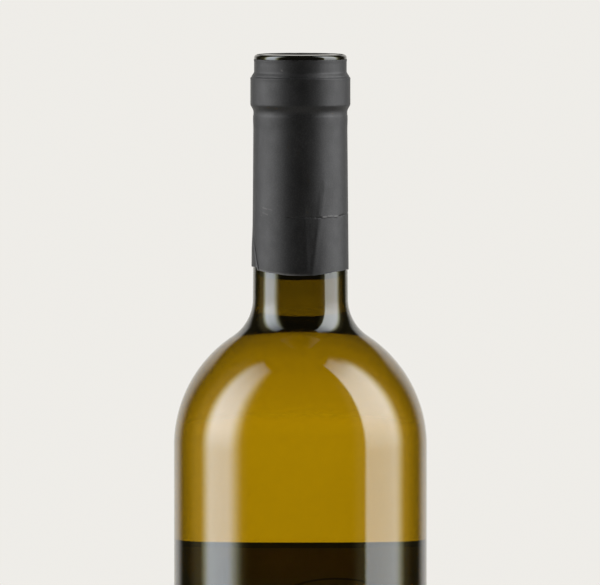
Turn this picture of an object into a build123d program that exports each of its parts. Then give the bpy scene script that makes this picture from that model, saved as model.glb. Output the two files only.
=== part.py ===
from build123d import *
import math
import os

# A full, shut 750 ml wine bottle with straight sides and a high round shoulder.
# Millimetres. +Z runs up the bottle's axis from the ring it stands on, and the label faces +Y.

# Body and base
body_radius = 38.0
wall = 2.8
heel_radius = 8.0
bearing_width = 3.0  # flat ring that the bottle stands on
base_thickness = 5.0  # glass over the punt
punt_depth = 26.0
punt_dome_radius = 14.0
punt_edge_radius = 1.2
trough_radius = 5.5  # inside corner between the punt and the wall

# Shoulder and neck
shoulder_height = 182.7  # where the straight side ends
shoulder_radius = 39.4
flare_radius = 13.4
neck_radius = 14.3  # just above the flare
neck_top_radius = 13.8  # just below the ring
throat_radius = 9.6  # bore at the bottom of the neck
bore_radius = 9.3  # bore at the mouth
inner_shoulder_drop = 1.2  # the wall grows thicker towards the neck

# Mouth
bottle_height = 300.0
lip_radius = 13.65
lip_round = 1.8
ring_radius = 14.75
ring_width = 8.2
ring_drop = 6.9  # from the mouth to the ring's upper edge
ring_slope = 1.6  # height of the slopes above and below the ring
ring_edge_round = 0.6
ring_root_round = 1.2

# Capsule: a thin skirt over the neck and a disc over the mouth
skin = 0.25
disc_turn_down = 1.3  # how far the disc reaches down over the lip
capsule_length = 64.4  # from the mouth to the skirt's lower edge at its sides
capsule_front_sag = 1.3  # how much lower that edge hangs on the -Y side
capsule_back_sag = 3.7  # and on the +Y side

# Wine and label
wine_drop = 63.0  # from the mouth to the wine
label_base = 50.0
label_height = 102.0
label_width = 88.0  # along the curve
label_thickness = 0.12

os.makedirs("parts", exist_ok=True)


def curve_points(body, neck, start, round_radius, flare):
    """Where a shoulder arc meets the arc of the flare, and where the flare meets the neck."""
    reach = round_radius + flare
    across = neck + flare - (body - round_radius)
    rise = math.sqrt(reach**2 - across**2)
    share = round_radius / reach
    join = (body - round_radius + across * share, start + rise * share)
    return join, (neck, start + rise)


def upper_outline(grown):
    """The outside from the top of the straight side to the axis, grown outwards by a skin."""
    join, flare_top = curve_points(
        body_radius + grown,
        neck_radius + grown,
        shoulder_height,
        shoulder_radius + grown,
        flare_radius - grown,
    )
    shoulder = TangentArc((body_radius + grown, shoulder_height), join, tangent=(0, 1))
    TangentArc(join, flare_top, tangent=shoulder % 1)
    ring_top = bottle_height - ring_drop
    ring_bottom = ring_top - ring_width
    return FilletPolyline(
        flare_top,
        (neck_top_radius + grown, ring_bottom - ring_slope),
        (ring_radius + grown, ring_bottom),
        (ring_radius + grown, ring_top),
        (lip_radius + grown, ring_top + ring_slope),
        (lip_radius + grown, bottle_height + grown),
        (0, bottle_height + grown),
        radius=[ring_root_round, ring_edge_round, ring_edge_round, ring_root_round, lip_round + grown],
    )


# The cavity repeats the outside, a wall further in
inner_radius = body_radius - wall
inner_shoulder_height = shoulder_height - inner_shoulder_drop
inner_join, throat_point = curve_points(
    inner_radius,
    throat_radius,
    inner_shoulder_height,
    shoulder_radius - wall,
    flare_radius + neck_radius - throat_radius,
)

# The punt is a cone that touches a dome: its flank's normal leans up by flank_angle
punt_radius = body_radius - heel_radius - bearing_width
dome_height = punt_depth - punt_dome_radius
flank_angle = math.acos(punt_dome_radius / math.hypot(punt_radius, dome_height))
flank_angle -= math.atan2(dome_height, punt_radius)
flank_normal = (math.cos(flank_angle), math.sin(flank_angle))
inner_dome_radius = punt_dome_radius + base_thickness
trough_corner_height = dome_height + (inner_dome_radius - flank_normal[0] * inner_radius) / flank_normal[1]


def dome_touch(radius):
    """Where the flank touches a dome of this radius."""
    return (radius * flank_normal[0], dome_height + radius * flank_normal[1])


with BuildSketch(Plane.XZ) as cavity:
    with BuildLine():
        inner_dome = TangentArc(
            (0, dome_height + inner_dome_radius), dome_touch(inner_dome_radius), tangent=(1, 0)
        )
        trough = FilletPolyline(
            inner_dome @ 1,
            (inner_radius, trough_corner_height),
            (inner_radius, inner_shoulder_height),
            radius=trough_radius,
        )
        inner_shoulder = TangentArc(trough @ 1, inner_join, tangent=(0, 1))
        inner_flare = TangentArc(inner_shoulder @ 1, throat_point, tangent=inner_shoulder % 1)
        Polyline(
            inner_flare @ 1,
            (bore_radius, bottle_height),
            (0, bottle_height),
            inner_dome @ 0,
        )
    make_face()

with BuildPart() as bottle:
    with BuildSketch(Plane.XZ):
        with BuildLine():
            foot = FilletPolyline(
                (0, 0), (body_radius, 0), (body_radius, shoulder_height), radius=heel_radius
            )
            neck = upper_outline(0)
            Line(neck @ 1, foot @ 0)
        make_face()
    revolve(axis=Axis.Z)
    revolve(cavity.sketch, axis=Axis.Z, mode=Mode.SUBTRACT)
    with BuildSketch(Plane.XZ):
        with BuildLine():
            dome = TangentArc((0, punt_depth), dome_touch(punt_dome_radius), tangent=(1, 0))
            Polyline(dome @ 1, (punt_radius, 0), (0, 0), dome @ 0)
        make_face()
    revolve(axis=Axis.Z, mode=Mode.SUBTRACT)
    base_circles = bottle.edges().filter_by(GeomType.CIRCLE).group_by(Axis.Z)[0]
    fillet(base_circles.sort_by(SortBy.RADIUS)[0], radius=punt_edge_radius)

# The wine fills the cavity up to its level in the neck
with BuildPart() as wine:
    revolve(cavity.sketch, axis=Axis.Z)
    split(bisect_by=Plane.XY.offset(bottle_height - wine_drop), keep=Keep.BOTTOM)

# A skin over the side, the shoulder, the neck and the mouth, which the capsule and its disc are cut from
with BuildSketch(Plane.XZ) as upper_skin:
    with BuildLine():
        outside = upper_outline(skin)
        inside = upper_outline(0)
        Line(outside @ 1, inside @ 1)
        Polyline(
            (body_radius + skin, shoulder_height),
            (body_radius + skin, heel_radius),
            (body_radius, heel_radius),
            (body_radius, shoulder_height),
        )
    make_face()

disc_edge = Plane.XY.offset(bottle_height - disc_turn_down)

# The skirt's lower edge arches up from front and back to its sides, and runs on straight past the neck
skirt_side = bottle_height - capsule_length
neck_outside = neck_radius + skin
past_body = 2 * body_radius
with BuildPart() as capsule:
    revolve(upper_skin.sketch, axis=Axis.Z)
    split(bisect_by=disc_edge, keep=Keep.BOTTOM)
    with BuildSketch(Plane.YZ):
        with BuildLine():
            arch = ThreePointArc(
                (-neck_outside, skirt_side - capsule_front_sag),
                (0, skirt_side),
                (neck_outside, skirt_side - capsule_back_sag),
            )
            front_run = Line(arch @ 0, arch @ 0 - (arch % 0) * past_body)
            back_run = Line(arch @ 1, arch @ 1 + (arch % 1) * past_body)
            Polyline(
                back_run @ 1,
                ((back_run @ 1).X, -past_body),
                ((front_run @ 1).X, -past_body),
                front_run @ 1,
            )
        make_face()
    extrude(amount=past_body, both=True, mode=Mode.SUBTRACT)

with BuildPart() as capsule_disc:
    revolve(upper_skin.sketch, axis=Axis.Z)
    split(bisect_by=disc_edge, keep=Keep.TOP)

# The label is a band of the body's circle, centred on +Y
label_angle = math.degrees(label_width / body_radius)
with BuildPart() as label:
    with BuildSketch(Plane.XY.offset(label_base)):
        with BuildLine():
            face_arc = CenterArc(
                (0, 0), body_radius + label_thickness, 90 - label_angle / 2, label_angle
            )
            glass_arc = CenterArc((0, 0), body_radius, 90 - label_angle / 2, label_angle)
            Line(face_arc @ 0, glass_arc @ 0)
            Line(face_arc @ 1, glass_arc @ 1)
        make_face()
    extrude(amount=label_height)

bottle.part.label = "bottle"
wine.part.label = "wine"
capsule.part.label = "capsule"
capsule_disc.part.label = "capsule_disc"
label.part.label = "label"

export_step(bottle.part, "parts/bottle.step")
export_step(wine.part, "parts/wine.step")
export_step(capsule.part, "parts/capsule.step")
export_step(capsule_disc.part, "parts/capsule_disc.step")
export_step(label.part, "parts/label.step")
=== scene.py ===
import bpy
import math
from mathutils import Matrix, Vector, noise


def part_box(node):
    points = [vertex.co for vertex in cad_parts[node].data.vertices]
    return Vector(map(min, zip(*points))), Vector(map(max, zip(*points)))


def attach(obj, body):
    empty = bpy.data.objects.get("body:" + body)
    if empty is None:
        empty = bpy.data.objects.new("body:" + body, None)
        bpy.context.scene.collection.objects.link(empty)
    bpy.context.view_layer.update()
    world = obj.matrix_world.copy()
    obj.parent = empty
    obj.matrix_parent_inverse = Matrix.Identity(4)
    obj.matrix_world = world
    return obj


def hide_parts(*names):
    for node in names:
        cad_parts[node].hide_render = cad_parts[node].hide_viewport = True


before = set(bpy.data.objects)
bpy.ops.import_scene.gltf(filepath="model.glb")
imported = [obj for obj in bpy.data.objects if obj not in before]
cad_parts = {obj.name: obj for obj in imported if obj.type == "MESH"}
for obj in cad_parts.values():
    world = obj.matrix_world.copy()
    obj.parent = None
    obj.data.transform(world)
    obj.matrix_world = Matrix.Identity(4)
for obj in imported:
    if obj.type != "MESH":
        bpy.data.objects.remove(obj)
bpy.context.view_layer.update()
mm = 0.001
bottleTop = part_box("bottle")[1].z / mm
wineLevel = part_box("wine")[1].z / mm
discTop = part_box("capsule_disc")[1].z / mm
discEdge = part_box("capsule_disc")[0].z / mm
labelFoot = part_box("label")[0].z / mm
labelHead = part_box("label")[1].z / mm
print("frame loaded:", sorted(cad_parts))


def clearSelection():
    if bpy.context.object is not None and bpy.context.object.mode != "OBJECT":
        bpy.ops.object.mode_set(mode="OBJECT")
    bpy.ops.object.select_all(action="DESELECT")


def takeUp(piece):
    clearSelection()
    piece.select_set(True)
    bpy.context.view_layer.objects.active = piece


samePlace = 0.0001  # two points nearer than this are one, in millimetres


# A profile is drawn in the plane XZ from one point, in millimetres
def startProfile(name, x, z):
    clearSelection()
    bpy.ops.mesh.primitive_plane_add(size=mm, location=(x * mm, 0, z * mm))
    piece = bpy.context.object
    piece.name = name
    piece.data.name = name
    bpy.ops.object.transform_apply(location=True, rotation=True, scale=True)
    bpy.ops.object.mode_set(mode="EDIT")
    bpy.ops.mesh.select_all(action="SELECT")
    bpy.ops.mesh.merge(type="CENTER")
    return {"piece": piece, "x": x, "z": z}


def lineTo(pen, x, z, steps=1):
    if math.hypot(x - pen["x"], z - pen["z"]) < samePlace:
        return
    stride = ((x - pen["x"]) / steps * mm, 0, (z - pen["z"]) / steps * mm)
    for step in range(steps):
        bpy.ops.mesh.extrude_region_move(TRANSFORM_OT_translate={"value": stride})
    pen["x"], pen["z"] = x, z


def arcTo(pen, middle, x, z, steps):
    start = math.atan2(pen["z"] - middle[1], pen["x"] - middle[0])
    end = math.atan2(z - middle[1], x - middle[0])
    turn = (end - start + math.pi) % (2 * math.pi) - math.pi
    bpy.ops.mesh.spin(
        steps=steps, angle=turn, use_auto_merge=False,
        center=(middle[0] * mm, 0, middle[1] * mm), axis=(0, 1, 0),
    )
    pen["x"], pen["z"] = x, z


# A line towards a corner, an arc of this radius round it, and on towards the next point
def roundTo(pen, corner, after, radius, steps):
    before = Vector((pen["x"], pen["z"]))
    corner, after = Vector(corner), Vector(after)
    back, on = (before - corner).normalized(), (after - corner).normalized()
    half = back.angle(on) / 2
    first = corner + back * radius / math.tan(half)
    last = corner + on * radius / math.tan(half)
    middle = corner + (back + on).normalized() * radius / math.sin(half)
    lineTo(pen, first.x, first.y)
    arcTo(pen, middle, last.x, last.y, steps)


# Turns the finished profile round the bottle's axis and closes the seam and the poles
def turnProfile(pen, turns):
    bpy.ops.mesh.select_all(action="SELECT")
    bpy.ops.mesh.spin(
        steps=turns, angle=2 * math.pi, use_auto_merge=True, center=(0, 0, 0), axis=(0, 0, 1)
    )
    bpy.ops.mesh.select_all(action="SELECT")
    bpy.ops.mesh.remove_doubles(threshold=1e-6)
    bpy.ops.mesh.normals_make_consistent(inside=False)
    bpy.ops.object.mode_set(mode="OBJECT")
    return pen["piece"]


def smoothUpTo(piece, degrees):
    takeUp(piece)
    bpy.ops.object.shade_smooth_by_angle(angle=math.radians(degrees))
    clearSelection()


def applyModifier(piece, kind, **settings):
    takeUp(piece)
    bpy.ops.object.modifier_add(type=kind)
    modifier = piece.modifiers[-1]
    for key, value in settings.items():
        setattr(modifier, key, value)
    bpy.ops.object.modifier_apply(modifier=modifier.name)


def ease(value, low, high):
    share = min(max((value - low) / (high - low), 0.0), 1.0)
    return share * share * (3 - 2 * share)


# The ends of this many equal steps, as shares of the whole
def evenSteps(count):
    return [step / count for step in range(1, count + 1)]


# Up from 0 to 1 over the first pair and down again over the second
def between(value, rise, fall):
    return ease(value, *rise) * (1 - ease(value, *fall))


# 1 at the middle, fading away over this width
def hill(value, middle, width):
    return math.exp(-((value - middle) / width) ** 2)


# Smooth noise over a piece seen from above, about -1 to 1, in a pattern of its own for each layer
def noiseOver(x, y, rate, layer):
    return noise.noise(Vector((x * rate, y * rate, layer)))


def addNode(tree, kind, inputs=None, **settings):
    node = tree.nodes.new(kind)
    for key, value in settings.items():
        setattr(node, key, value)
    for key, value in (inputs or {}).items():
        if isinstance(value, bpy.types.NodeSocket):
            tree.links.new(value, node.inputs[key])
        else:
            node.inputs[key].default_value = value
    return node


def calc(tree, operation, *values):
    node = addNode(tree, "ShaderNodeMath", dict(enumerate(values)), operation=operation)
    return node.outputs[0]


def product(tree, first, *others):
    for other in others:
        first = calc(tree, "MULTIPLY", first, other)
    return first


def lengthOf(tree, first, second):
    squares = [calc(tree, "POWER", part, 2.0) for part in (first, second)]
    return calc(tree, "SQRT", calc(tree, "ADD", *squares))


def easeNode(tree, value, low, high, toLow=0.0, toHigh=1.0):
    node = addNode(
        tree, "ShaderNodeMapRange",
        {"Value": value, "From Min": low, "From Max": high, "To Min": toLow, "To Max": toHigh},
        interpolation_type="SMOOTHSTEP",
    )
    return node.outputs["Result"]


# Follows straight runs between (value, result) points
def rampNode(tree, value, points):
    low, high = points[0][0], points[-1][0]
    top = max(result for start, result in points)
    share = calc(tree, "DIVIDE", calc(tree, "SUBTRACT", value, float(low)), float(high - low))
    ramp = addNode(tree, "ShaderNodeValToRGB", {"Fac": share})
    marks = ramp.color_ramp.elements
    while len(marks) < len(points):
        marks.new(0.5)
    for mark, (start, result) in zip(marks, points):
        mark.position = (start - low) / (high - low)
        mark.color = (result / top,) * 3 + (1,)
    return calc(tree, "MULTIPLY", ramp.outputs["Color"], float(top))


def mixColours(tree, share, first, second, blend="MIX"):
    node = addNode(tree, "ShaderNodeMix", data_type="RGBA", blend_type=blend)
    for key, value in ((0, share), (6, first), (7, second)):
        if isinstance(value, bpy.types.NodeSocket):
            tree.links.new(value, node.inputs[key])
        else:
            node.inputs[key].default_value = value
    return node.outputs[2]


# A colour made brighter or darker by a value
def tinted(tree, colour, value):
    grey = addNode(tree, "ShaderNodeCombineColor", {0: value, 1: value, 2: value}).outputs[0]
    return mixColours(tree, 1.0, colour, grey, "MULTIPLY")


def newMaterial(name):
    material = bpy.data.materials.new(name)
    material.use_nodes = True
    tree = material.node_tree
    place = addNode(tree, "ShaderNodeTexCoord").outputs["Object"]
    return material, tree, tree.nodes["Principled BSDF"], place


noiseRange = (0.3, 0.7)  # nearly all of a noise lies between these


def noiseNode(tree, place, scale, detail):
    settings = {"Vector": place, "Scale": scale, "Detail": detail}
    return addNode(tree, "ShaderNodeTexNoise", settings).outputs["Fac"]


# Height over the base in millimetres
def heightNode(tree, place):
    return calc(tree, "DIVIDE", addNode(tree, "ShaderNodeSeparateXYZ", {0: place}).outputs["Z"], mm)


# Fine relief on a surface, with its depth in millimetres
def addBump(tree, shader, height, strength, depth):
    settings = {"Strength": strength, "Distance": depth * mm, "Height": height}
    tree.links.new(addNode(tree, "ShaderNodeBump", settings).outputs[0], shader.inputs["Normal"])


def setShader(shader, **values):
    for key, value in values.items():
        shader.inputs[key.replace("_", " ")].default_value = value


def giveMaterial(piece, material):
    piece.data.materials.clear()
    piece.data.materials.append(material)


cameraSetup = {
    "distance": 3.0,
    "elevation": 3.0,
    "lens": 600.0,
    "sensor": 36,
    "aimHeight": 228.6,
    "aimSide": -0.12,
    "near": 0.05,
    "far": 50,
}
bpy.ops.object.camera_add()
camera = bpy.context.object
camera.name = "camera"
tilt = math.radians(cameraSetup["elevation"])
camera.location = (
    cameraSetup["aimSide"] * mm,
    -cameraSetup["distance"] * math.cos(tilt),
    cameraSetup["aimHeight"] * mm + cameraSetup["distance"] * math.sin(tilt),
)
camera.rotation_euler = (math.pi / 2 - tilt, 0, 0)
camera.data.lens = cameraSetup["lens"]
camera.data.sensor_width = cameraSetup["sensor"]
camera.data.clip_start = cameraSetup["near"]
camera.data.clip_end = cameraSetup["far"]
bpy.context.scene.camera = camera
bpy.context.scene.view_settings.view_transform = "Standard"
print("camera placed")


bottleShape = {
    "bodyRadius": 38.0,
    "wall": 2.8,
    "heelRound": 8.0,
    "ringWidth": 3.0,  # the flat ring it stands on
    "baseGlass": 5.0,
    "puntHeight": 26.0,
    "puntDome": 14.0,
    "puntEdge": 1.2,
    "troughRound": 5.5,
    "shoulderHeight": 182.7,
    "shoulderArc": 39.4,
    "flareArc": 13.4,
    "neckRadius": 14.3,
    "neckTopRadius": 13.8,
    "throatRadius": 9.6,
    "boreRadius": 9.3,
    "innerDrop": 1.2,  # the cavity's shoulder starts this far below the outer one
    "lipRadius": 13.65,
    "lipRound": 1.8,
    "boreEdge": 0.7,
    "collarRadius": 14.75,
    "collarTop": 6.9,  # below the mouth
    "collarWidth": 8.2,
    "collarSlope": 1.6,
    "rootRound": 1.2,  # where the collar's slopes meet the neck and the lip
    "edgeRound": 0.6,
    "shortRow": 1.0,  # a narrow ring of faces before an arc keeps the shading of the side straight
    "upperSide": 40.0,  # the inside has even rows this far below its shoulder
    "turns": 176,
}


# Where a shoulder arc meets the flare's arc, and where the flare meets the neck
def shoulderPoints(body, neck, start, shoulderArc, flareArc):
    reach = shoulderArc + flareArc
    across = neck + flareArc - (body - shoulderArc)
    rise = math.sqrt(reach ** 2 - across ** 2)
    share = shoulderArc / reach
    return (body - shoulderArc + across * share, start + rise * share), (neck, start + rise)


puntRadius = bottleShape["bodyRadius"] - bottleShape["heelRound"] - bottleShape["ringWidth"]
domeMiddle = bottleShape["puntHeight"] - bottleShape["puntDome"]
flank = math.acos(bottleShape["puntDome"] / math.hypot(puntRadius, domeMiddle))
flank -= math.atan2(domeMiddle, puntRadius)

# the cavity repeats the outside, a wall further in
innerBody = bottleShape["bodyRadius"] - bottleShape["wall"]
innerShoulder = bottleShape["shoulderHeight"] - bottleShape["innerDrop"]
innerArc = bottleShape["shoulderArc"] - bottleShape["wall"]
innerFlare = bottleShape["flareArc"] + bottleShape["neckRadius"] - bottleShape["throatRadius"]
innerJoin, throat = shoulderPoints(
    innerBody, bottleShape["throatRadius"], innerShoulder, innerArc, innerFlare
)


# Where the punt's straight flank touches a dome of this radius
def domePoint(radius):
    return radius * math.cos(flank), domeMiddle + radius * math.sin(flank)


# The collar's corners from the neck up, each with its round, grown outwards by a skin
def collarCorners(grown, rootRound, edgeRound):
    collarTop = bottleTop - bottleShape["collarTop"]
    collarFoot = collarTop - bottleShape["collarWidth"]
    slope = bottleShape["collarSlope"]
    return [
        (bottleShape["neckTopRadius"] + grown, collarFoot - slope, rootRound),
        (bottleShape["collarRadius"] + grown, collarFoot, edgeRound),
        (bottleShape["collarRadius"] + grown, collarTop, bottleShape["edgeRound"]),
        (bottleShape["lipRadius"] + grown, collarTop + slope, bottleShape["rootRound"]),
    ]


# The cavity from the throat down to the axis, grown into the wall
def drawCavity(pen, grown):
    side = innerBody + grown
    flareMiddle = (throat[0] + innerFlare, throat[1])
    shoulderMiddle = (innerBody - innerArc, innerShoulder)
    lineTo(pen, throat[0] + grown, throat[1], steps=6)
    toJoin = (Vector(innerJoin) - Vector(shoulderMiddle)).normalized()
    join = Vector(shoulderMiddle) + toJoin * (innerArc + grown)
    arcTo(pen, flareMiddle, join.x, join.y, steps=26)
    arcTo(pen, shoulderMiddle, side, innerShoulder, steps=40)
    lineTo(pen, side, innerShoulder - bottleShape["shortRow"])
    lineTo(pen, side, innerShoulder - bottleShape["upperSide"], steps=4)
    dome = bottleShape["puntDome"] + bottleShape["baseGlass"] - grown
    touch = domePoint(dome)
    cornerHeight = domeMiddle + (dome - math.cos(flank) * side) / math.sin(flank)
    roundTo(pen, (side, cornerHeight), touch, bottleShape["troughRound"] + grown, steps=20)
    lineTo(pen, touch[0], touch[1], steps=4)
    arcTo(pen, (0, domeMiddle), 0, domeMiddle + dome, steps=14)


def makeBottle():
    body, shoulderHeight = bottleShape["bodyRadius"], bottleShape["shoulderHeight"]
    neckRadius, boreRadius = bottleShape["neckRadius"], bottleShape["boreRadius"]
    shoulderArc, flareArc = bottleShape["shoulderArc"], bottleShape["flareArc"]
    pen = startProfile("wineBottleGlass", 0, bottleShape["puntHeight"])
    touch = domePoint(bottleShape["puntDome"])
    arcTo(pen, (0, domeMiddle), touch[0], touch[1], steps=14)
    roundTo(pen, (puntRadius, 0), (body, 0), bottleShape["puntEdge"], steps=6)
    roundTo(pen, (body, 0), (body, shoulderHeight), bottleShape["heelRound"], steps=16)
    lineTo(pen, body, shoulderHeight - bottleShape["shortRow"], steps=8)
    lineTo(pen, body, shoulderHeight)
    join, flareTop = shoulderPoints(body, neckRadius, shoulderHeight, shoulderArc, flareArc)
    arcTo(pen, (body - shoulderArc, shoulderHeight), join[0], join[1], steps=48)
    arcTo(pen, (neckRadius + flareArc, flareTop[1]), flareTop[0], flareTop[1], steps=26)
    corners = collarCorners(0, bottleShape["rootRound"], bottleShape["edgeRound"])
    corners.append((bottleShape["lipRadius"], bottleTop, bottleShape["lipRound"]))
    corners.append((boreRadius, bottleTop, bottleShape["boreEdge"]))
    corners.append((boreRadius, wineLevel, 0))
    lineTo(pen, (neckRadius + bottleShape["neckTopRadius"]) / 2, (flareTop[1] + corners[0][1]) / 2)
    for corner, after in zip(corners, corners[1:]):
        roundTo(pen, corner[:2], after[:2], corner[2], steps=6)
    drawCavity(pen, 0)
    piece = turnProfile(pen, bottleShape["turns"])
    smoothUpTo(piece, degrees=50)
    return piece


bottleGlass = makeBottle()
print("bottle turned:", len(bottleGlass.data.polygons), "faces")


wineShape = {"intoWall": 0.15, "meniscusRise": 0.9, "meniscusWidth": 2.4, "meniscusRings": 8}


def makeWine():
    into, rise = wineShape["intoWall"], wineShape["meniscusRise"]
    level = wineLevel - rise
    pen = startProfile("whiteWine", 0, level)
    boreSlope = (throat[0] - bottleShape["boreRadius"]) / (bottleTop - throat[1])
    edge = throat[0] - boreSlope * (wineLevel - throat[1]) + into
    inner = edge - wineShape["meniscusWidth"]
    lineTo(pen, inner, level, steps=4)
    for share in evenSteps(wineShape["meniscusRings"]):  # the wine creeps up the glass
        lineTo(pen, inner + (edge - inner) * share, level + rise * share ** 3)
    drawCavity(pen, into)
    piece = turnProfile(pen, bottleShape["turns"])
    smoothUpTo(piece, degrees=50)
    return piece


wine = makeWine()
print("wine filled to", round(wineLevel, 1), "mm")


skirtShape = {
    "skin": 0.25,
    "gap": 0.03,  # to the glass
    "radius": 14.4,  # turns degrees into millimetres round it
    "columns": 270,
    "waviness": 0.035,
    "waveRates": (1.6, 0.045),  # round it and up it
    "sideEdge": 235.6,  # lower edge at its sides
    "frontSag": 1.3,
    "backSag": 3.7,
    "spareFoot": 0.5,  # drawn this much too long, then pulled up to its lower edge
    "pulledBelow": 250,
    "footIn": 0.07,  # its lower edge stands this much closer to the glass
    "rows": ((250.6, 22), (254.9, 24), (280.4, 36)),  # up to these heights, finest over the score line
    "topRows": 9,
    "rootRound": 2.8,  # under the collar the skirt bridges the corner softly
    "rootStart": (0.02, 0.95),  # that round starts out from and below the corner
    "edgeRound": 1.3,
    "sideRow": 0.6,
    "slopeRow": 0.16,
    "shortRun": 1,  # a run up to this long between two rounds gets no rows
    "longRun": 3,  # and one over this is the collar's straight side
    "cornerRoom": 0.5,  # left for the round at its end
    "ragged": 0.12,  # how uneven its cut edges are
    "raggedTop": 1.2,  # its upper edge is uneven this far down
    # the rolled upper edge: out from the side, down from the disc, rows
    "topRoll": ((0, 0.9, 6), (0.084, 0.35, 1), (0.072, 0.1, 1), (-0.06, 0, 1)),
    # each is a ridge from one spot to another: (degrees, height), (degrees, height), how high, how wide
    "pleats": (
        ((31, 262), (14.5, 234), 0.06, 0.8),
        ((25, 259), (18, 243), 0.03, 0.35),
        ((21, 247), (12.5, 234), 0.04, 0.45),
        ((5, 254), (9, 234), 0.07, 0.6),
        ((-60, 276), (-71, 250), 0.05, 0.8),
    ),
    # the same way, but how white instead of how high
    "scuffs": (
        ((-52, 254.5), (-44, 254.1), 0.28, 0.16),
        ((-42, 254.1), (-36, 253.8), 0.15, 0.14),
        ((-52, 253.0), (-49, 252.8), 0.2, 0.14),
        ((-47.5, 252.7), (-43, 252.4), 0.28, 0.14),
        ((-56, 252.2), (-54.5, 252.1), 0.2, 0.14),
        ((-23.8, 295.5), (-23.3, 295.5), 0.5, 0.2),
    ),
    "score": {
        "height": 251.7,
        "wander": (0.1, 0.21),  # it isn't quite level: how far and how fast
        "sweep": 0.00012,
        "depth": 0.17,
        "width": 0.2,
        "softEnd": 1,
        "cuts": ((-16, -6), (-2, 14), (18, 26), (54, 72), (84, 118)),  # where it gapes, in degrees
        "lifted": ((27, 33), (35, 42), (44, 51), (78, 81)),  # where its edge stands up and has a painted highlight along it
        "lift": 0.102,
        "liftBelow": 0.1,
        # the painted highlight along the lifted edge: how white, and how far above the line
        "wear": 0.35,
        "glintAbove": 0.05,
    },
    # the outer end of the wrapped skirt, which stands proud along a leaning seam
    "seam": {
        "angle": -75,
        "height": 245,
        "lean": 1.6,  # degrees a millimetre
        "flapEdge": (-0.7, 0.7),
        "flapEnd": (50, 85),  # it lies flat again this far round
        "flapTop": (241, 249),
        "rise": 0.2,
        "footLift": 0.9,  # how much higher its lower edge is
        "footHeight": 237,  # where the flap is measured for that
        "gapDepth": 0.12,
        "gapAside": 0.6,
        "gapWidth": 1.4,
        "gapTop": (243, 247),
    },
    # the whitened cut edge at the foot, in degrees and in millimetres over the edge
    "cutEdge": {
        "starts": (-70, -60),
        "ends": (-22, 25),
        "upTo": (0.1, 0.4),
        "wear": 0.9,
        "patchy": 0.4,
        "patchRate": 0.3,
        "patchLayer": 7,
    },
    "bead": {"starts": (277.5, 281.0), "ends": (281.5, 282.2), "rise": 0.1},  # under the collar
    # a fold with a ridge under it, where the collar's upper slope starts
    "crease": {"above": 0.3, "width": 0.25, "depth": 0.1, "ridge": 0.05, "ridgeBelow": 0.55},
}
score, seam, cutEdge = skirtShape["score"], skirtShape["seam"], skirtShape["cutEdge"]
bead, crease = skirtShape["bead"], skirtShape["crease"]


# How far the lower edge hangs below its sides at this place from front (-1) to back (1)
def edgeSag(place):
    front, back = skirtShape["frontSag"], skirtShape["backSag"]
    return (front + back) / 2 * place * place + (back - front) / 2 * place


# How near this place on the skirt is to a straight run over it, 1 on it and 0 away from it
def nearLine(angle, z, start, end, width):
    scale = skirtShape["radius"] * math.pi / 180
    point = Vector((angle * scale, z))
    first, last = Vector((start[0] * scale, start[1])), Vector((end[0] * scale, end[1]))
    along = last - first
    share = min(max((point - first).dot(along) / along.length_squared, 0.0), 1.0)
    return hill((point - first - along * share).length, 0, width)


# 1 inside any of these runs of degrees, with soft ends
def inRuns(angle, runs):
    soft = score["softEnd"]
    return max(
        between(angle, (start - soft, start + soft), (end - soft, end + soft)) for start, end in runs
    )


def scoreHeight(angle):
    wander, rate = score["wander"]
    return score["height"] + wander * math.sin(angle * rate) + score["sweep"] * angle * abs(angle)


def seamAngle(z):
    return seam["angle"] + (seam["height"] - z) * seam["lean"]


def flapHere(angle, z):
    past = seamAngle(z) - angle
    return between(past, seam["flapEdge"], seam["flapEnd"]) * (1 - ease(z, *seam["flapTop"]))


def seamGap(angle, z):
    past = seamAngle(z) - angle
    return hill(past, -seam["gapAside"], seam["gapWidth"]) * (1 - ease(z, *seam["gapTop"]))


# How far the skirt stands out from its plain shape, by degrees from the front and height
def skirtRelief(angle, z):
    turn = math.radians(angle)
    around, upwards = skirtShape["waveRates"]
    spot = Vector((math.sin(turn) * around, math.cos(turn) * around, z * upwards))
    relief = skirtShape["waviness"] * noise.noise(spot)
    relief += bead["rise"] * between(z, bead["starts"], bead["ends"])
    off = z - scoreHeight(angle)
    relief -= score["depth"] * inRuns(angle, score["cuts"]) * hill(off, 0, score["width"])
    lifted = inRuns(angle, score["lifted"]) * hill(off, -score["liftBelow"], score["width"])
    relief += score["lift"] * lifted
    for start, end, height, width in skirtShape["pleats"]:
        relief += height * nearLine(angle, z, start, end, width)
    relief += seam["rise"] * flapHere(angle, z) - seam["gapDepth"] * seamGap(angle, z)
    creaseHeight = bottleTop - bottleShape["collarTop"] + crease["above"]
    relief -= crease["depth"] * hill(z, creaseHeight, crease["width"])
    relief += crease["ridge"] * hill(z, creaseHeight - crease["ridgeBelow"], crease["width"])
    return relief


# Whitened spots: scuffs and the cut edge, and a painted highlight along the lifted parts of the score line
def skirtWearAndGlint(angle, z, edge):
    wear = max(
        white * nearLine(angle, z, start, end, width) for start, end, white, width in skirtShape["scuffs"]
    )
    # painted highlight along the lifted edge of the score line
    line = hill(z, scoreHeight(angle) + score["glintAbove"], score["width"])
    wear = max(wear, score["wear"] * inRuns(angle, score["lifted"]) * line)
    patches = noise.noise(Vector((angle * cutEdge["patchRate"], 0, cutEdge["patchLayer"])))
    rim = 1 - cutEdge["patchy"] + cutEdge["patchy"] * patches
    rim *= between(angle, cutEdge["starts"], cutEdge["ends"])
    return max(wear, cutEdge["wear"] * rim * (1 - ease(z - edge, *cutEdge["upTo"])))


# Gaping cuts and the gap beside the flap, which hold no shine
def skirtGap(angle, z):
    cut = inRuns(angle, score["cuts"]) * hill(z, scoreHeight(angle), score["width"])
    return max(cut, seamGap(angle, z))


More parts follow.
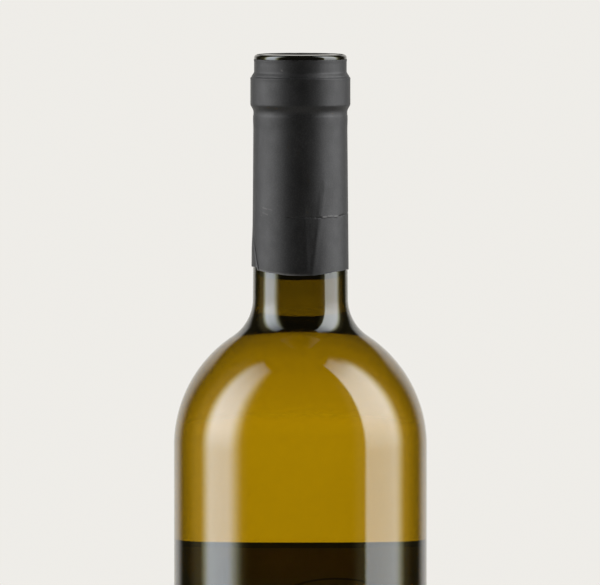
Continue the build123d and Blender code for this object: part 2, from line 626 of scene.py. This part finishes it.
# The collar's straight side has rows about as tall as on the neck, and its slopes have finer ones
def drawSkirtCollar(pen, corners):
    for corner, after in zip(corners, corners[1:]):
        start = Vector((pen["x"], pen["z"]))
        run = (Vector(corner[:2]) - start).length
        if run > skirtShape["shortRun"]:
            stop = start.lerp(Vector(corner[:2]), (run - skirtShape["cornerRoom"]) / run)
            row = skirtShape["sideRow"] if run > skirtShape["longRun"] else skirtShape["slopeRow"]
            lineTo(pen, stop.x, stop.y, round(run / row))
        roundTo(pen, corner[:2], after[:2], corner[2], steps=8)


def makeSkirt():
    grown = skirtShape["skin"]
    side = bottleShape["lipRadius"] + grown
    lowest = skirtShape["sideEdge"] - skirtShape["spareFoot"]
    foot = bottleShape["neckRadius"] + grown - skirtShape["footIn"]
    pen = startProfile("capsuleSkirt", foot, lowest)
    corners = collarCorners(grown, skirtShape["rootRound"], skirtShape["edgeRound"])
    out, below = skirtShape["rootStart"]
    neckTop = (corners[0][0] + out, corners[0][1] - below)
    for height, rows in skirtShape["rows"] + ((neckTop[1], skirtShape["topRows"]),):
        share = (height - lowest) / (neckTop[1] - lowest)
        lineTo(pen, foot + (neckTop[0] - foot) * share, height, rows)
    drawSkirtCollar(pen, corners + [(side, discEdge, 0)])
    for out, below, rows in skirtShape["topRoll"]:
        lineTo(pen, side + out, discEdge - below, rows)
    piece = turnProfile(pen, skirtShape["columns"])
    wearAndGlintMarks = piece.data.attributes.new("wear", "FLOAT", "POINT")
    gapMarks = piece.data.attributes.new("gap", "FLOAT", "POINT")
    for index, vertex in enumerate(piece.data.vertices):
        x, y, z = vertex.co / mm
        radius = math.hypot(x, y)
        angle = math.degrees(math.atan2(x, -y))
        hang = 1 - ease(z, lowest, skirtShape["pulledBelow"])
        edge = skirtShape["sideEdge"] - edgeSag(y / radius)
        edge += seam["footLift"] * flapHere(angle, seam["footHeight"])
        z += hang * (edge - lowest)
        z += skirtShape["ragged"] * hang * noiseOver(x, y, rate=0.35, layer=4.0)
        if z > discEdge - skirtShape["raggedTop"]:
            z += skirtShape["ragged"] * noiseOver(x, y, rate=0.25, layer=9.0)
        wearAndGlintMarks.data[index].value = skirtWearAndGlint(angle, z, edge)
        gapMarks.data[index].value = skirtGap(angle, z)
        grow = 1 + skirtRelief(angle, z) / radius
        vertex.co = Vector((x * grow, y * grow, z)) * mm
    thickness = (grown - skirtShape["gap"]) * mm
    applyModifier(piece, "SOLIDIFY", thickness=thickness, offset=-1, use_even_offset=True)
    smoothUpTo(piece, degrees=50)
    return piece


skirt = makeSkirt()
print("skirt drawn over the neck:", len(skirt.data.polygons), "faces")


discShape = {
    "gap": 0.03,  # to the glass
    "turns": 200,
    "dish": 0.08,
    "flatRadius": 10.0,
    "crestRadius": 10.9,
    "rimRadius": 12.4,
    "fall": 0.06,  # from the crest to the rim
    "fallCurve": 0.3,
    "cornerDrop": 0.2,  # from the rim to the outer corner
    "cornerRound": 1.0,
    "waviness": 0.09,
    "wavyFrom": (8, 12),
    "crinkle": 0.05,
    "crinkleStarts": (44, 54),  # degrees from the front
    "crinkleEnds": (68, 80),
    "crinkleFrom": (11, 12.5),
    "upperSide": (0.21, 0.16),  # below the top: the underside stays as it is, clear of the glass
}


# From the middle over the crest to the outer corner and down to the edge
def drawDiscTop(pen, edgeRadius):
    flat, crest, rim = discShape["flatRadius"], discShape["crestRadius"], discShape["rimRadius"]
    dish, fall, curve = discShape["dish"], discShape["fall"], discShape["fallCurve"]
    lineTo(pen, flat, discTop - dish, steps=10)
    for share in evenSteps(6):
        lineTo(pen, flat + (crest - flat) * share, discTop - dish * (1 - ease(share, 0, 1)))
    for share in evenSteps(8):  # the rim falls away outwards
        fallen = fall * (share * (1 - curve) + share ** 2 * curve)
        lineTo(pen, crest + (rim - crest) * share, discTop - fallen)
    corner = (edgeRadius, discTop - fall - discShape["cornerDrop"])
    roundTo(pen, corner, (edgeRadius, discEdge), discShape["cornerRound"], steps=12)
    lineTo(pen, edgeRadius, discEdge, steps=2)


# The underside follows the bottle's lip, a gap away from it
def drawDiscUnderside(pen, edgeRadius):
    under = skirtShape["skin"] - discShape["gap"]
    roundRadius = bottleShape["lipRound"] + skirtShape["skin"]
    middle = (edgeRadius - roundRadius, discTop - roundRadius)
    foot = math.asin((discEdge - middle[1]) / roundRadius)
    lineTo(pen, middle[0] + (roundRadius - under) * math.cos(foot), discEdge)
    arcTo(pen, middle, middle[0], discTop - under, steps=10)
    lineTo(pen, 0, discTop - under, steps=6)


def makeDisc():
    edgeRadius = bottleShape["lipRadius"] + skirtShape["skin"]
    pen = startProfile("capsuleDisc", 0, discTop - discShape["dish"])
    drawDiscTop(pen, edgeRadius)
    drawDiscUnderside(pen, edgeRadius)
    piece = turnProfile(pen, discShape["turns"])
    low, high = discShape["upperSide"]
    for vertex in piece.data.vertices:
        x, y, z = vertex.co / mm
        radius = math.hypot(x, y)
        upper = ease(z, discTop - low, discTop - high)
        swell = upper * ease(radius, *discShape["wavyFrom"]) * discShape["waviness"]
        z -= swell * (0.5 + 0.5 * noiseOver(x, y, rate=0.4, layer=2.0))
        angle = math.degrees(math.atan2(x, -y))
        crumpled = upper * between(angle, discShape["crinkleStarts"], discShape["crinkleEnds"])
        crumpled *= ease(radius, *discShape["crinkleFrom"]) * discShape["crinkle"]
        z -= crumpled * (0.5 + 0.5 * noiseOver(x, y, rate=1.3, layer=5.0))
        vertex.co = Vector((x, y, z)) * mm
    smoothUpTo(piece, degrees=50)
    return piece


capsuleDisc = makeDisc()
print("disc pressed over the mouth")


labelShape = {
    "halfWidth": 44.0,  # along the curve
    "cornerRound": 1.5,
    "intoGlass": 0.05,
    "thickness": 0.12,
    "strip": 1.6,  # it is rolled on in flat strips this wide
}


def makeLabel():
    half = labelShape["halfWidth"] * mm
    middle = (labelFoot + labelHead) / 2 * mm
    clearSelection()
    bpy.ops.mesh.primitive_plane_add(size=1, location=(0, 0, middle), rotation=(math.pi / 2, 0, 0))
    piece = bpy.context.object
    piece.name = "bottleLabel"
    piece.data.name = "bottleLabel"
    piece.scale = (half * 2, (labelHead - labelFoot) * mm, 1)
    bpy.ops.object.transform_apply(location=True, rotation=True, scale=True)
    bpy.ops.object.mode_set(mode="EDIT")
    bpy.ops.mesh.select_all(action="SELECT")
    bpy.ops.mesh.bevel(offset=labelShape["cornerRound"] * mm, segments=6, affect="VERTICES")
    strips = round(2 * labelShape["halfWidth"] / labelShape["strip"])
    for cut in range(1, strips):
        bpy.ops.mesh.select_all(action="SELECT")
        bpy.ops.mesh.bisect(plane_co=(half * (2 * cut / strips - 1), 0, 0), plane_no=(1, 0, 0))
    bpy.ops.object.mode_set(mode="OBJECT")
    glassRadius = bottleShape["bodyRadius"] * mm
    outerRadius = glassRadius + labelShape["thickness"] * mm
    for vertex in piece.data.vertices:
        turn = vertex.co.x / glassRadius
        vertex.co.x = outerRadius * math.sin(turn)
        vertex.co.y = outerRadius * math.cos(turn)
    takeUp(piece)
    bpy.ops.object.mode_set(mode="EDIT")
    bpy.ops.mesh.select_all(action="SELECT")
    bpy.ops.mesh.normals_make_consistent(inside=False)
    bpy.ops.object.mode_set(mode="OBJECT")
    if piece.data.polygons[len(piece.data.polygons) // 2].normal.y < 0:
        piece.data.flip_normals()
    thickness = (labelShape["thickness"] + labelShape["intoGlass"]) * mm
    applyModifier(piece, "SOLIDIFY", thickness=thickness, offset=-1, use_even_offset=True)
    smoothUpTo(piece, degrees=35)
    return piece


label = makeLabel()
print("label rolled on")


glassLook = {
    "index": 1.52,
    "takenPerMetre": (105.0, 114.0, 620.0),  # how fast the glass soaks up red, green and blue
    "bodyTint": (0.975, 0.76, 0.11, 1),
    "neckTint": (0.49, 0.385, 0.07, 1),
    # how far the glass has gone over to its neck tint, by height
    "neckShare": (
        (187, 0), (200, 0.01), (204, 0.04), (208, 0.07), (211, 0.16), (213, 0.34), (215.5, 0.64),
        (219, 0.77), (224, 0.89), (229, 1.0),
    ),
    "cloudShade": 0.96,
    "rimShade": 0.42,  # glass seen edge on is darker
    "neckRimShade": 0.85,
    "rimShadeHeights": (200, 225),
    "rimEdges": (0.38, 0.64),
}


def makeGlass():
    material, tree, shader, place = newMaterial("oliveGlass")
    height = heightNode(tree, place)
    share = rampNode(tree, height, glassLook["neckShare"])
    cloud = noiseNode(tree, place, scale=18.0, detail=2.0)
    drift = easeNode(tree, cloud, *noiseRange, glassLook["cloudShade"], 1.0)
    tint = mixColours(tree, share, glassLook["bodyTint"], glassLook["neckTint"])
    facing = addNode(tree, "ShaderNodeLayerWeight", {"Blend": 0.5}).outputs["Facing"]
    rimShade = easeNode(
        tree, height, *glassLook["rimShadeHeights"], glassLook["rimShade"], glassLook["neckRimShade"]
    )
    rim = easeNode(tree, facing, *glassLook["rimEdges"], 1.0, rimShade)
    tree.links.new(tinted(tree, tint, product(tree, drift, rim)), shader.inputs["Base Color"])
    setShader(shader, Roughness=0.0, IOR=glassLook["index"], Transmission_Weight=1.0)
    deepest = max(glassLook["takenPerMetre"])
    colour = [1 - taken / deepest for taken in glassLook["takenPerMetre"]] + [1]
    depth = addNode(tree, "ShaderNodeVolumeAbsorption", {"Color": colour, "Density": deepest})
    tree.links.new(depth.outputs[0], tree.nodes["Material Output"].inputs["Volume"])
    return material


wineLook = {
    "index": 1.34,
    "lower": (0.985, 0.975, 0.93, 1),
    "upper": (0.99, 0.985, 0.95, 1),
    "heights": (10, 230),
}


def makeWineMaterial():
    material, tree, shader, place = newMaterial("paleWine")
    share = easeNode(tree, heightNode(tree, place), *wineLook["heights"])
    tint = mixColours(tree, share, wineLook["lower"], wineLook["upper"])
    tree.links.new(tint, shader.inputs["Base Color"])
    setShader(shader, Roughness=0.0, IOR=wineLook["index"], Transmission_Weight=1.0)
    return material


skirtLook = {
    "dark": (0.0005, 0.0005, 0.0005, 1),
    "light": (0.0075, 0.0075, 0.0075, 1),
    "speckleEdges": (0.4, 0.68),  # the grain turns from dark to light between these
    # whitened foil for scuffs and the cut edge, also the painted highlight on the score line
    "wornAndGlint": (0.16, 0.155, 0.15, 1),
    "roughness": (0.435, 0.515),
}


def makeSkirtMaterial():
    material, tree, shader, place = newMaterial("matteBlackSkirt")
    cloud = noiseNode(tree, place, scale=260.0, detail=4.0)
    grain = noiseNode(tree, place, scale=2600.0, detail=2.0)
    speckle = easeNode(tree, grain, *skirtLook["speckleEdges"])
    tint = mixColours(tree, speckle, skirtLook["dark"], skirtLook["light"])
    # the wear attribute holds scuffs, the whitened cut edge and the painted highlight along the score line
    wear = addNode(tree, "ShaderNodeAttribute", attribute_name="wear").outputs["Fac"]
    tree.links.new(mixColours(tree, wear, tint, skirtLook["wornAndGlint"]), shader.inputs["Base Color"])
    rough = easeNode(tree, cloud, *noiseRange, *skirtLook["roughness"])
    gap = addNode(tree, "ShaderNodeAttribute", attribute_name="gap").outputs["Fac"]
    tree.links.new(calc(tree, "MAXIMUM", rough, gap), shader.inputs["Roughness"])
    addBump(tree, shader, grain, strength=0.35, depth=0.05)
    setShader(shader, Specular_IOR_Level=0.31)
    return material


discLook = {
    "dark": (0.0015, 0.0015, 0.0015, 1),
    "light": (0.004, 0.004, 0.004, 1),
    "roughness": (0.5, 0.6),  # under the gloss
    "cloudEdges": (0.35, 0.65),
    "cornerGloss": (12.9, 13.3),  # the outer corner is glossy all round, in millimetres from the middle
    "topGloss": (10.8, 11.1),  # and the rim's top too
    "topGlossEnds": (-7, -3),  # but only in front: it fades out between these places along Y
    "plainGloss": 0.05,
}


def makeDiscMaterial():
    material, tree, shader, place = newMaterial("glossBlackDisc")
    cloud = noiseNode(tree, place, scale=300.0, detail=3.0)
    tint = mixColours(tree, cloud, discLook["dark"], discLook["light"])
    tree.links.new(tint, shader.inputs["Base Color"])
    split = addNode(tree, "ShaderNodeSeparateXYZ", {0: place})
    fromMiddle = calc(tree, "DIVIDE", lengthOf(tree, split.outputs["X"], split.outputs["Y"]), mm)
    backwards = calc(tree, "DIVIDE", split.outputs["Y"], mm)
    corner = easeNode(tree, fromMiddle, *discLook["cornerGloss"], discLook["plainGloss"], 1.0)
    front = easeNode(tree, backwards, *discLook["topGlossEnds"], 1.0, 0.0)
    top = product(tree, easeNode(tree, fromMiddle, *discLook["topGloss"]), front)
    tree.links.new(calc(tree, "MAXIMUM", corner, top), shader.inputs["Coat Weight"])
    rough = easeNode(tree, cloud, *discLook["cloudEdges"], *discLook["roughness"])
    tree.links.new(rough, shader.inputs["Roughness"])
    setShader(shader, Specular_IOR_Level=0.0, Coat_Roughness=0.0)
    addBump(tree, shader, cloud, strength=0.3, depth=0.1)
    return material


labelLook = {
    "paper": (0.058, 0.056, 0.05, 1),
    "paperLight": (0.075, 0.072, 0.064, 1),
    # the printed arch's colour, also used for the painted shade along the label's edges
    "inkAndEdgeShade": (0.006, 0.005, 0.005, 1),
    "roughness": (0.6, 0.75),
    # width of the painted shade band along each edge of the label
    "edgeShadeWidth": 1.7,
    "archSide": 5.5,  # off the label's middle
    "archMiddle": 130.0,
    "archRadius": 11.0,
    "archLine": 0.6,
    "archFoot": 66.0,
}


# A plain arch, 1 on its line: a half ring on two uprights
def archInk(tree, along, height):
    over = calc(tree, "SUBTRACT", height, labelLook["archMiddle"])
    across = calc(tree, "ABSOLUTE", calc(tree, "SUBTRACT", along, labelLook["archSide"]))
    above = calc(tree, "GREATER_THAN", over, 0.0)
    below = calc(tree, "SUBTRACT", 1.0, above)
    ring = product(tree, lengthOf(tree, across, over), above)
    reach = calc(tree, "ADD", ring, product(tree, across, below))
    off = calc(tree, "ABSOLUTE", calc(tree, "SUBTRACT", reach, labelLook["archRadius"]))
    onLine = calc(tree, "LESS_THAN", off, labelLook["archLine"] / 2)
    return product(tree, onLine, calc(tree, "GREATER_THAN", height, labelLook["archFoot"]))


def makeLabelMaterial():
    material, tree, shader, place = newMaterial("darkPaper")
    split = addNode(tree, "ShaderNodeSeparateXYZ", {0: place})
    turn = calc(tree, "ARCTAN2", split.outputs["X"], split.outputs["Y"])
    along = calc(tree, "MULTIPLY", turn, bottleShape["bodyRadius"])
    height = calc(tree, "DIVIDE", split.outputs["Z"], mm)
    # painted shade: dark bands along the label's edges, in the same colour as the printed arch
    edgeShadeWidth = labelLook["edgeShadeWidth"]
    edgeShadeBands = (
        calc(tree, "GREATER_THAN", calc(tree, "ABSOLUTE", along), labelShape["halfWidth"] - edgeShadeWidth),
        calc(tree, "GREATER_THAN", height, labelHead - edgeShadeWidth),
        calc(tree, "LESS_THAN", height, labelFoot + edgeShadeWidth),
    )
    inkAndEdgeShade = archInk(tree, along, height)
    for line in edgeShadeBands:
        inkAndEdgeShade = calc(tree, "MAXIMUM", inkAndEdgeShade, line)
    fibre = noiseNode(tree, place, scale=900.0, detail=4.0)
    paper = mixColours(tree, fibre, labelLook["paper"], labelLook["paperLight"])
    tree.links.new(mixColours(tree, inkAndEdgeShade, paper, labelLook["inkAndEdgeShade"]), shader.inputs["Base Color"])
    rough = easeNode(tree, fibre, *noiseRange, *labelLook["roughness"])
    tree.links.new(rough, shader.inputs["Roughness"])
    addBump(tree, shader, fibre, strength=0.2, depth=0.03)
    setShader(shader, Specular_IOR_Level=0.3)
    return material


giveMaterial(bottleGlass, makeGlass())
giveMaterial(wine, makeWineMaterial())
giveMaterial(skirt, makeSkirtMaterial())
giveMaterial(capsuleDisc, makeDiscMaterial())
giveMaterial(label, makeLabelMaterial())
print("materials made")

for piece, node, slot in (
    (bottleGlass, "bottle", "bottle_glass"),
    (wine, "wine", "wine"),
    (skirt, "capsule", "capsule_skirt"),
    (capsuleDisc, "capsule_disc", "capsule_disc"),
    (label, "label", "label_paper"),
):
    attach(piece, "root")
    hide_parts(node)


studio = {
    "pale": (0.86, 0.844, 0.808, 1),
    "ambient": 0.45,
    "steep": (35, 75),  # above and below, less shows through the glass, in degrees
    "steepShare": 0.35,
    "insideMirror": 0.06,
    "insideLight": 9.3,
    "backdropRound": (134, 151),  # the backdrop that polished pieces mirror, in degrees from the front
    "backdropUp": (22, 30),
    "softboxEdge": (0.92, 0.94, 0.55, 1),  # warmer where they fade out
    "dimCornerRound": (84, 100),  # their upper far corners are dim
    "dimCornerUp": (54, 67),
    "dimCorner": 0.85,
    "dullTint": (0.98, 0.985, 1.0, 1),
    "dullTop": (48, 62),
    "dullTopShare": 0.2,
    "haloTint": (1.0, 0.87, 0.42, 1),
    "haloRound": (46, 59, 104, 124),
    "haloUp": (-45, -20, 48, 62),
    "halo": 0.4,
    "fill": 0.06,
}

# levels are a softbox's brightness by height over the horizon, in degrees, and sharp and dull are where it
# starts and ends beside the bottle on polished and on dull pieces, in degrees from the front
softboxes = {
    "left": {
        "tint": (0.86, 0.93, 1.0, 1),
        "levels": (
            (-35, 0), (-12, 5.5), (-3, 6.7), (5, 8.5), (12, 9.6), (22, 9.6), (32, 8.6), (42, 7.0),
            (51, 4.9), (60, 3.0), (64.5, 1.6), (66, 0),
        ),
        "sharp": (53, 71, 89, 105),
        "dull": (32, 70, 88, 140),
        "dullShare": 0.73,
    },
    "right": {
        "tint": (0.91, 0.955, 0.98, 1),
        "levels": (
            (-35, 0), (-12, 4.5), (-3, 4.95), (2, 6.1), (10, 7.0), (20, 8.4), (30, 8.7), (42, 8.2),
            (52, 7.0), (60, 4.6), (66, 3.0), (70.5, 1.8), (72, 0),
        ),
        "sharp": (59.5, 64, 95, 112),
        "dull": (42, 66, 86, 139),
        "dullShare": 1.0,
    },
}


# Fades in over the first two values and out over the last two
def bandNode(tree, value, start, whole, fading, gone):
    return product(tree, easeNode(tree, value, start, whole), easeNode(tree, value, fading, gone, 1.0, 0.0))


def litPale(level):
    return tuple(part * level for part in studio["pale"][:3]) + (1,)


# What pieces mirror: sharp softboxes and a halo on polished ones, broad softboxes on dull ones, and the
# backdrop on both
def mirroredStudio(tree, side, azimuth, elevation, ray):
    upper = easeNode(tree, elevation, *studio["dimCornerUp"])
    far = easeNode(tree, azimuth, *studio["dimCornerRound"])
    corner = calc(tree, "SUBTRACT", 1.0, product(tree, upper, far, studio["dimCorner"]))
    low = easeNode(tree, elevation, *studio["dullTop"], 1.0, studio["dullTopShare"])
    sharp, dull = [], []
    for box in (softboxes["left"], softboxes["right"]):
        level = rampNode(tree, elevation, box["levels"])
        band = bandNode(tree, azimuth, *box["sharp"])
        tint = mixColours(tree, band, studio["softboxEdge"], box["tint"])
        sharp.append(tinted(tree, tint, product(tree, band, level, corner)))
        band = bandNode(tree, azimuth, *box["dull"])
        dull.append(tinted(tree, studio["dullTint"], product(tree, band, level, low, box["dullShare"])))
    around = bandNode(tree, azimuth, *studio["haloRound"])
    halo = product(tree, around, bandNode(tree, elevation, *studio["haloUp"]), studio["halo"])
    halo = tinted(tree, studio["haloTint"], calc(tree, "ADD", halo, studio["fill"]))
    onRight = calc(tree, "GREATER_THAN", side, 0.0)
    polished = mixColours(tree, 1.0, mixColours(tree, onRight, *sharp), halo, "ADD")
    boxes = mixColours(tree, ray.outputs["Is Singular Ray"], mixColours(tree, onRight, *dull), polished)
    under = easeNode(tree, elevation, *studio["backdropUp"], 1.0, 0.0)
    behind = product(tree, easeNode(tree, azimuth, *studio["backdropRound"]), under)
    return mixColours(tree, 1.0, boxes, tinted(tree, studio["pale"], behind), "ADD")


# What shows through the glass and the wine
def studioThrough(tree, elevation, ray):
    steep = calc(tree, "ABSOLUTE", elevation)
    level = easeNode(tree, steep, *studio["steep"], 1.0, studio["steepShare"])
    through = tinted(tree, studio["pale"], level)
    # what glass mirrors inside itself is dimmer than what shows through it
    mirrored = calc(tree, "GREATER_THAN", ray.outputs["Glossy Depth"], 0.5)
    faint = mixColours(tree, studio["insideMirror"], (0, 0, 0, 1), through)
    through = mixColours(tree, mirrored, through, faint)
    # light that comes in through the glass to a dull piece behind it
    fromDull = calc(tree, "GREATER_THAN", ray.outputs["Diffuse Depth"], 0.5)
    return mixColours(tree, fromDull, through, litPale(studio["insideLight"]))


def makeWorld():
    world = bpy.data.worlds.new("studioWorld")
    bpy.context.scene.world = world
    world.use_nodes = True
    tree = world.node_tree
    tree.nodes.clear()
    way = addNode(tree, "ShaderNodeTexCoord").outputs["Generated"]
    side, depth, up = addNode(tree, "ShaderNodeSeparateXYZ", {0: way}).outputs
    elevation = calc(tree, "DEGREES", calc(tree, "ARCSINE", up))
    # degrees away from the front, 0 to 180 on either side
    outwards, forwards = calc(tree, "ABSOLUTE", side), calc(tree, "MULTIPLY", depth, -1.0)
    azimuth = calc(tree, "DEGREES", calc(tree, "ARCTAN2", outwards, forwards))
    ray = addNode(tree, "ShaderNodeLightPath")
    shine = mirroredStudio(tree, side, azimuth, elevation, ray)
    colour = mixColours(tree, ray.outputs["Is Glossy Ray"], litPale(studio["ambient"]), shine)
    through = studioThrough(tree, elevation, ray)
    colour = mixColours(tree, ray.outputs["Is Transmission Ray"], colour, through)
    colour = mixColours(tree, ray.outputs["Is Camera Ray"], colour, studio["pale"])
    light = addNode(tree, "ShaderNodeBackground", {"Color": colour, "Strength": 1.0})
    addNode(tree, "ShaderNodeOutputWorld", {"Surface": light.outputs[0]})
    world.cycles.sampling_method = "NONE"


lamps = (
    # place, size, watts
    ((-1.5, -0.5, 1.1), (0.9, 1.4), 11),
    ((1.5, -0.4, 1.1), (0.9, 1.4), 10),
    ((0.0, -1.2, 2.0), (1.4, 1.0), 10),
    ((0.0, 1.6, 1.4), (1.4, 1.0), 8),
)
lampAim = (0, 0, 0.15)


def makeLamps():
    for number, (place, size, watts) in enumerate(lamps):
        clearSelection()
        bpy.ops.object.light_add(type="AREA", location=place)
        lamp = bpy.context.object
        lamp.name = "lamp" + str(number + 1)
        lamp.rotation_euler = (Vector(lampAim) - Vector(place)).to_track_quat("-Z", "Y").to_euler()
        lamp.data.shape = "RECTANGLE"
        lamp.data.size, lamp.data.size_y = size
        lamp.data.energy = watts
        lamp.visible_camera = False
        lamp.visible_glossy = False
        lamp.visible_transmission = False


floorShape = {
    "radius": 1.4,
    "under": 0.05,  # just clear of the ring the bottle stands on
    "fade": (0.4, 0.97),  # it fades into the backdrop between these shares of its radius
    "dark": (0.85, 0.834, 0.8, 1),
    "light": (0.87, 0.854, 0.818, 1),
}


def makeFloor():
    clearSelection()
    bpy.ops.mesh.primitive_circle_add(
        vertices=128, radius=floorShape["radius"], fill_type="NGON",
        location=(0, 0, -floorShape["under"] * mm),
    )
    floor = bpy.context.object
    floor.name = "studioFloor"
    material, tree, shader, place = newMaterial("paleFloor")
    cloud = noiseNode(tree, place, scale=3.0, detail=2.0)
    tint = mixColours(tree, cloud, floorShape["dark"], floorShape["light"])
    tree.links.new(tint, shader.inputs["Base Color"])
    setShader(shader, Roughness=0.9, Specular_IOR_Level=0.0)
    reach = addNode(tree, "ShaderNodeVectorMath", {0: place}, operation="LENGTH").outputs["Value"]
    fadeStart, fadeEnd = (share * floorShape["radius"] for share in floorShape["fade"])
    fade = easeNode(tree, reach, fadeStart, fadeEnd)
    clear = addNode(tree, "ShaderNodeBsdfTransparent")
    mix = addNode(tree, "ShaderNodeMixShader", {0: fade, 1: shader.outputs[0], 2: clear.outputs[0]})
    tree.links.new(mix.outputs[0], tree.nodes["Material Output"].inputs["Surface"])
    giveMaterial(floor, material)


makeWorld()
makeLamps()
makeFloor()
print("studio lit")
